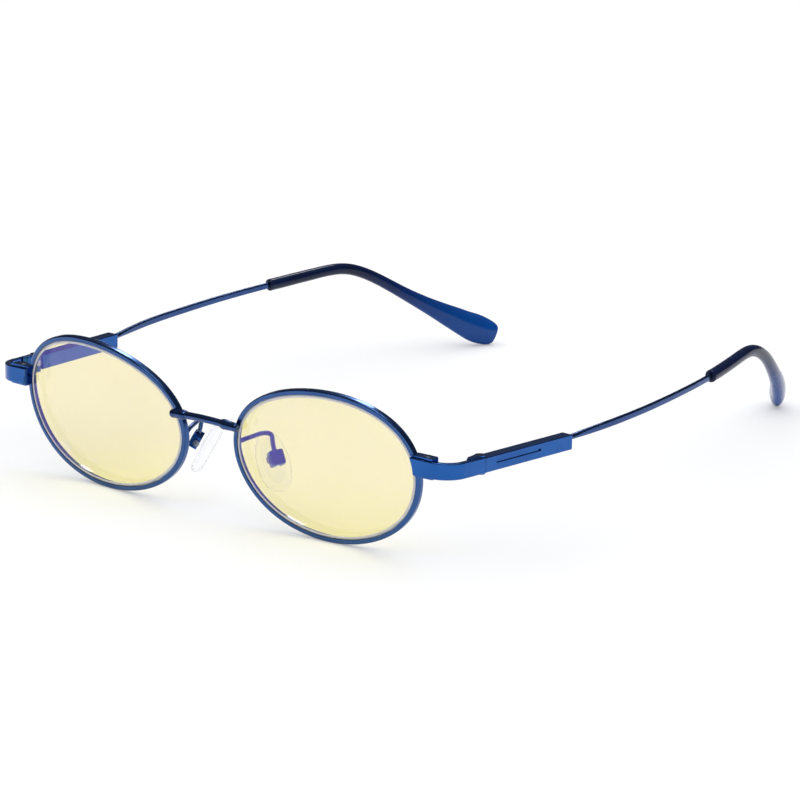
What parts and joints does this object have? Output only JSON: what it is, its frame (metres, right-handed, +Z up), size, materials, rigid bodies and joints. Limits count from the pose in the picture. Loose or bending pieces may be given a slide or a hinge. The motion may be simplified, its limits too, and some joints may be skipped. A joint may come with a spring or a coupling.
{
  "type": "blue light glasses",
  "caption": "Thin metal-framed oval glasses with pale yellow filter lenses, a straight wire bridge, clear nose pads, and sprung temples that fold behind the lenses.",
  "frame": {"origin": "on the table under the middle of the glasses, midway between the front of the bridge and the ends of the temples", "axes": "+Z up, +Y from the lenses to the ear ends, +X to the wearer's left, so X = 0 is the plane of symmetry"},
  "size_m": [0.1336, 0.154, 0.034],
  "materials": {
    "blue_metal": "gloss metallic blue coating",
    "lens_tint": "clear pale yellow plastic with a violet-blue reflex coating",
    "dark_acetate": "polished translucent dark blue acetate",
    "clear_silicone": "soft clear silicone",
    "pad_plastic": "clear hard plastic",
    "screw_steel": "polished steel",
    "slider_steel": "machined steel",
    "spring_steel": "drawn spring wire"
  },
  "bodies": {
    "front": {"bridge_wire": "blue_metal", "rim_left": "blue_metal", "rim_right": "blue_metal", "lens_left": "lens_tint", "lens_right": "lens_tint", "bridge_ferrule_left": "blue_metal", "bridge_ferrule_right": "blue_metal", "end_piece_left": "blue_metal", "end_piece_right": "blue_metal", "hinge_front_left": "blue_metal", "hinge_front_right": "blue_metal", "hinge_screw_left": "screw_steel", "hinge_screw_right": "screw_steel", "closing_block_upper_left": "blue_metal", "closing_block_upper_right": "blue_metal", "closing_block_lower_left": "blue_metal", "closing_block_lower_right": "blue_metal", "closing_screw_left": "screw_steel", "closing_screw_right": "screw_steel", "pad_arm_left": "blue_metal", "pad_arm_right": "blue_metal", "pad_box_left": "blue_metal", "pad_box_right": "blue_metal", "pad_screw_left": "screw_steel", "pad_screw_right": "screw_steel"},
    "slider_left": {"hinge_slider_left": "slider_steel", "slider_nut_left": "slider_steel"},
    "slider_right": {"hinge_slider_right": "slider_steel", "slider_nut_right": "slider_steel"},
    "temple_left": {"temple_housing_left": "blue_metal", "slider_guide_left": "slider_steel", "hinge_spring_left": "spring_steel", "temple_wire_left": "blue_metal", "temple_tip_left": "dark_acetate"},
    "temple_right": {"temple_housing_right": "blue_metal", "slider_guide_right": "slider_steel", "hinge_spring_right": "spring_steel", "temple_wire_right": "blue_metal", "temple_tip_right": "dark_acetate"},
    "pad_left": {"pad_core_left": "pad_plastic", "nose_pad_left": "clear_silicone"},
    "pad_right": {"pad_core_right": "pad_plastic", "nose_pad_right": "clear_silicone"}
  },
  "joints": [
    {"name": "left_fold", "type": "hinge", "parent": "front", "child": "slider_left", "pos_m": [0.06302, -0.06124, 0.02053], "axis": [0.0017, 0.0289, 0.9996], "range_deg": [0, 82]},
    {"name": "right_fold", "type": "hinge", "parent": "front", "child": "slider_right", "pos_m": [-0.06302, -0.06124, 0.02053], "axis": [0.0017, -0.0289, -0.9996], "range_deg": [0, 88]},
    {"name": "left_spring", "type": "slide", "parent": "slider_left", "child": "temple_left", "axis": [0.0575, 0.9979, -0.029], "range_m": [0, 0.001], "stiffness_N_per_m": 300, "springref_m": -0.001, "deforming": ["hinge_spring_left"]},
    {"name": "right_spring", "type": "slide", "parent": "slider_right", "child": "temple_right", "axis": [-0.0575, 0.9979, -0.029], "range_m": [0, 0.001], "stiffness_N_per_m": 300, "springref_m": -0.001, "deforming": ["hinge_spring_right"]},
    {"name": "left_pad_rock", "type": "hinge", "parent": "front", "child": "pad_left", "pos_m": [0.0111, -0.06543, 0.01299], "axis": [-0.4671, -0.8786, -0.0995], "range_deg": [-8, 8]},
    {"name": "right_pad_rock", "type": "hinge", "parent": "front", "child": "pad_right", "pos_m": [-0.0111, -0.06543, 0.01299], "axis": [-0.4671, 0.8786, 0.0995], "range_deg": [-8, 8]}
  ]
}
